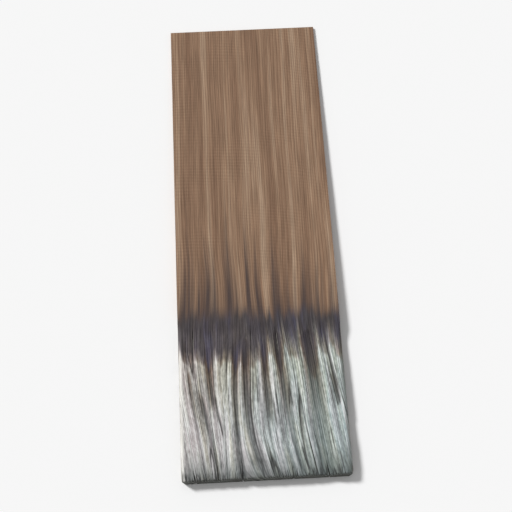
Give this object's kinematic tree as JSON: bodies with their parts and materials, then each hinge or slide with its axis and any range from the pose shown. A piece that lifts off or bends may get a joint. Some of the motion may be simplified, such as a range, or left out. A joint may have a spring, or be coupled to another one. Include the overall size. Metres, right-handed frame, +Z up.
{
  "type": "wood roof shingle",
  "caption": "Tapered sawn wood roof shingle with a thick weathered butt, ridged grain and a thin covered tip.",
  "frame": {"origin": "on the flat sawn back, in the middle of the board's length and width", "axes": "+X across the board, +Y from the thick butt towards the thin tip, +Z up out of the weather face"},
  "size_m": [0.13, 0.406, 0.0093],
  "materials": {
    "weathered_cedar": "weathered silver-grey on the bare part, dark stain at the weather line, brown sawn wood above it"
  },
  "bodies": {
    "root": {"shingle": "weathered_cedar"}
  },
  "joints": []
}
